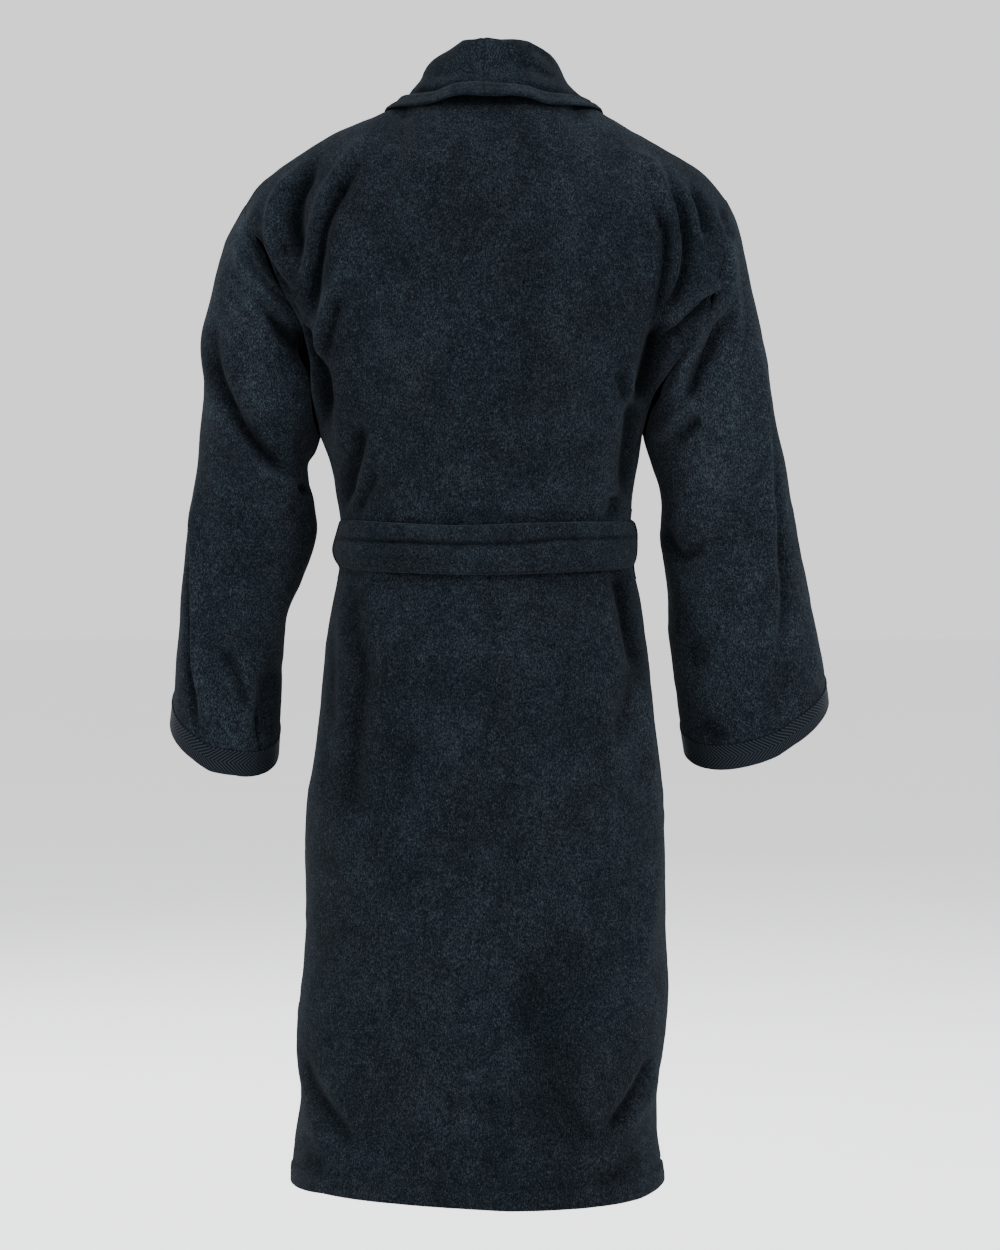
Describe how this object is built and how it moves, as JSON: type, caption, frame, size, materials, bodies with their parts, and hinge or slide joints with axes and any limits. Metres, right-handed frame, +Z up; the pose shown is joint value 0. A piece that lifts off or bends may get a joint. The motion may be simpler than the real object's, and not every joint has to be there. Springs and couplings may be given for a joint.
{
  "type": "bathrobe",
  "caption": "Dark navy pile bathrobe with shawl collar, wrap front, tie belt in side loops, patch pockets and taped cuffs, hanging as if worn.",
  "frame": {"origin": "midpoint between the wearer's two shoulders, under the collar, level with the base of the neck edge", "axes": "+Z up along the robe's length, +X to the wearer's left, -Y to the wearer's front"},
  "size_m": [0.7056, 0.3062, 1.2126],
  "materials": {
    "velour": "very dark navy pile velour, matt",
    "collar_velour": "very dark navy pile velour, matt, doubled",
    "belt_velour": "very dark navy pile velour tie belt",
    "twill_tape": "very dark navy herringbone twill tape"
  },
  "bodies": {
    "robe_body": {"back_panel": "velour", "front_panel_left": "velour", "front_panel_right": "velour", "collar_left": "collar_velour", "collar_right": "collar_velour", "belt_waistband": "belt_velour", "belt_knot": "belt_velour", "belt_loop_left": "twill_tape", "belt_loop_right": "twill_tape", "pocket_left": "velour", "pocket_tape_left": "twill_tape", "pocket_right": "velour", "pocket_tape_right": "twill_tape", "neck_tape": "twill_tape"},
    "left_sleeve": {"sleeve_left": "velour", "cuff_tape_left": "twill_tape"},
    "right_sleeve": {"sleeve_right": "velour", "cuff_tape_right": "twill_tape"},
    "belt_end_left": {"belt_tail_left": "belt_velour"},
    "belt_end_right": {"belt_tail_right": "belt_velour"},
    "front_corner": {"front_flap_left": "velour"},
    "hanging_loop": {"hang_loop": "twill_tape"}
  },
  "joints": [
    {"name": "sleeve_left_raise", "type": "hinge", "parent": "robe_body", "child": "left_sleeve", "pos_m": [0.2545, 0, -0.089], "axis": [0, -1, 0], "range_deg": [0, 50]},
    {"name": "sleeve_right_raise", "type": "hinge", "parent": "robe_body", "child": "right_sleeve", "pos_m": [-0.2585, 0, -0.087], "axis": [0, 1, 0], "range_deg": [0, 50]},
    {"name": "belt_end_left_swing", "type": "hinge", "parent": "robe_body", "child": "belt_end_left", "pos_m": [0.05, -0.1325, -0.48], "axis": [-1, 0, 0], "range_deg": [0, 60]},
    {"name": "belt_end_right_swing", "type": "hinge", "parent": "robe_body", "child": "belt_end_right", "pos_m": [0, -0.1325, -0.48], "axis": [-1, 0, 0], "range_deg": [0, 60]},
    {"name": "front_corner_fold", "type": "hinge", "parent": "robe_body", "child": "front_corner", "pos_m": [-0.0365, -0.14655, -0.9575], "axis": [-0.2497, 0.0569, 0.9667], "range_deg": [0, 60]},
    {"name": "hang_loop_flip", "type": "hinge", "parent": "robe_body", "child": "hanging_loop", "pos_m": [0, 0.088, -0.003], "axis": [-1, 0, 0], "range_deg": [0, 85]}
  ]
}
